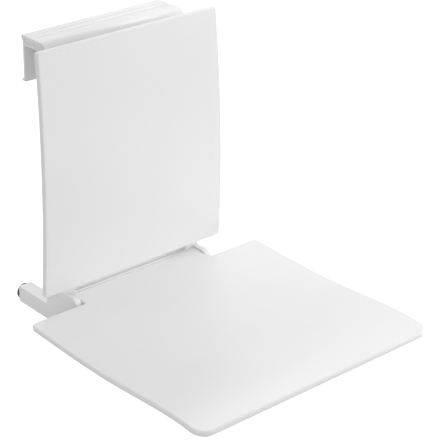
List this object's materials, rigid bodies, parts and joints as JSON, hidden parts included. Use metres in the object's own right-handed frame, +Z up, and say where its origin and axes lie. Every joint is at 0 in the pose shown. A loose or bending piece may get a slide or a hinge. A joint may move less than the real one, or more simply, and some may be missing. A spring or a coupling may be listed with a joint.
{
  "type": "hook-in shower seat",
  "caption": "Fold-up shower seat with backrest that hooks over a horizontal grab rail and leans on the wall through two rubber buffers.",
  "frame": {"origin": "axis of the horizontal grab rail that the hook hangs on, at the middle of the hook's length", "axes": "+X along the rail, to the right of a viewer who faces the wall, +Y towards the wall, +Z up"},
  "size_m": [0.454, 0.5554, 0.4618],
  "materials": {
    "powder_white": "smooth white powder coat on aluminium, satin",
    "panel_white": "satin white moulded polyurethane with a fine grain",
    "plug_white": "moulded white polyamide",
    "liner_grey": "soft grey elastomer",
    "bearing_grey": "moulded acetal",
    "stainless": "turned stainless steel",
    "rubber_black": "moulded black rubber"
  },
  "bodies": {
    "frame": {"hook_profile": "powder_white", "rail_liner_left": "liner_grey", "rail_liner_right": "liner_grey", "hook_screws": "stainless", "post_left": "powder_white", "post_right": "powder_white", "post_nuts": "stainless", "post_cap_left": "plug_white", "post_cap_right": "plug_white", "side_bracket_left": "powder_white", "side_bracket_right": "powder_white", "arm_plug_left": "plug_white", "arm_plug_right": "plug_white", "cross_beam": "powder_white", "stop_pads": "rubber_black", "frame_screws": "stainless", "backrest_panel": "panel_white", "backrest_screws": "stainless", "hinge_rod": "stainless", "hinge_washers": "bearing_grey"},
    "seat": {"seat_panel": "panel_white", "seat_carrier_left": "powder_white", "seat_carrier_right": "powder_white", "seat_screws": "stainless", "hinge_bush_left": "bearing_grey", "hinge_bush_right": "bearing_grey"},
    "buffer_left": {"buffer_stud_left": "stainless", "buffer_pad_left": "rubber_black"},
    "buffer_right": {"buffer_stud_right": "stainless", "buffer_pad_right": "rubber_black"}
  },
  "joints": [
    {"name": "seat_fold", "type": "hinge", "parent": "frame", "child": "seat", "pos_m": [0, -0.0875, -0.372], "axis": [-1, 0, 0], "range_deg": [0, 87]},
    {"name": "buffer_left_adjust", "type": "slide", "parent": "frame", "child": "buffer_left", "axis": [0, 1, 0], "range_m": [0, 0.012]},
    {"name": "buffer_right_adjust", "type": "slide", "parent": "frame", "child": "buffer_right", "axis": [0, 1, 0], "range_m": [0, 0.012]}
  ]
}
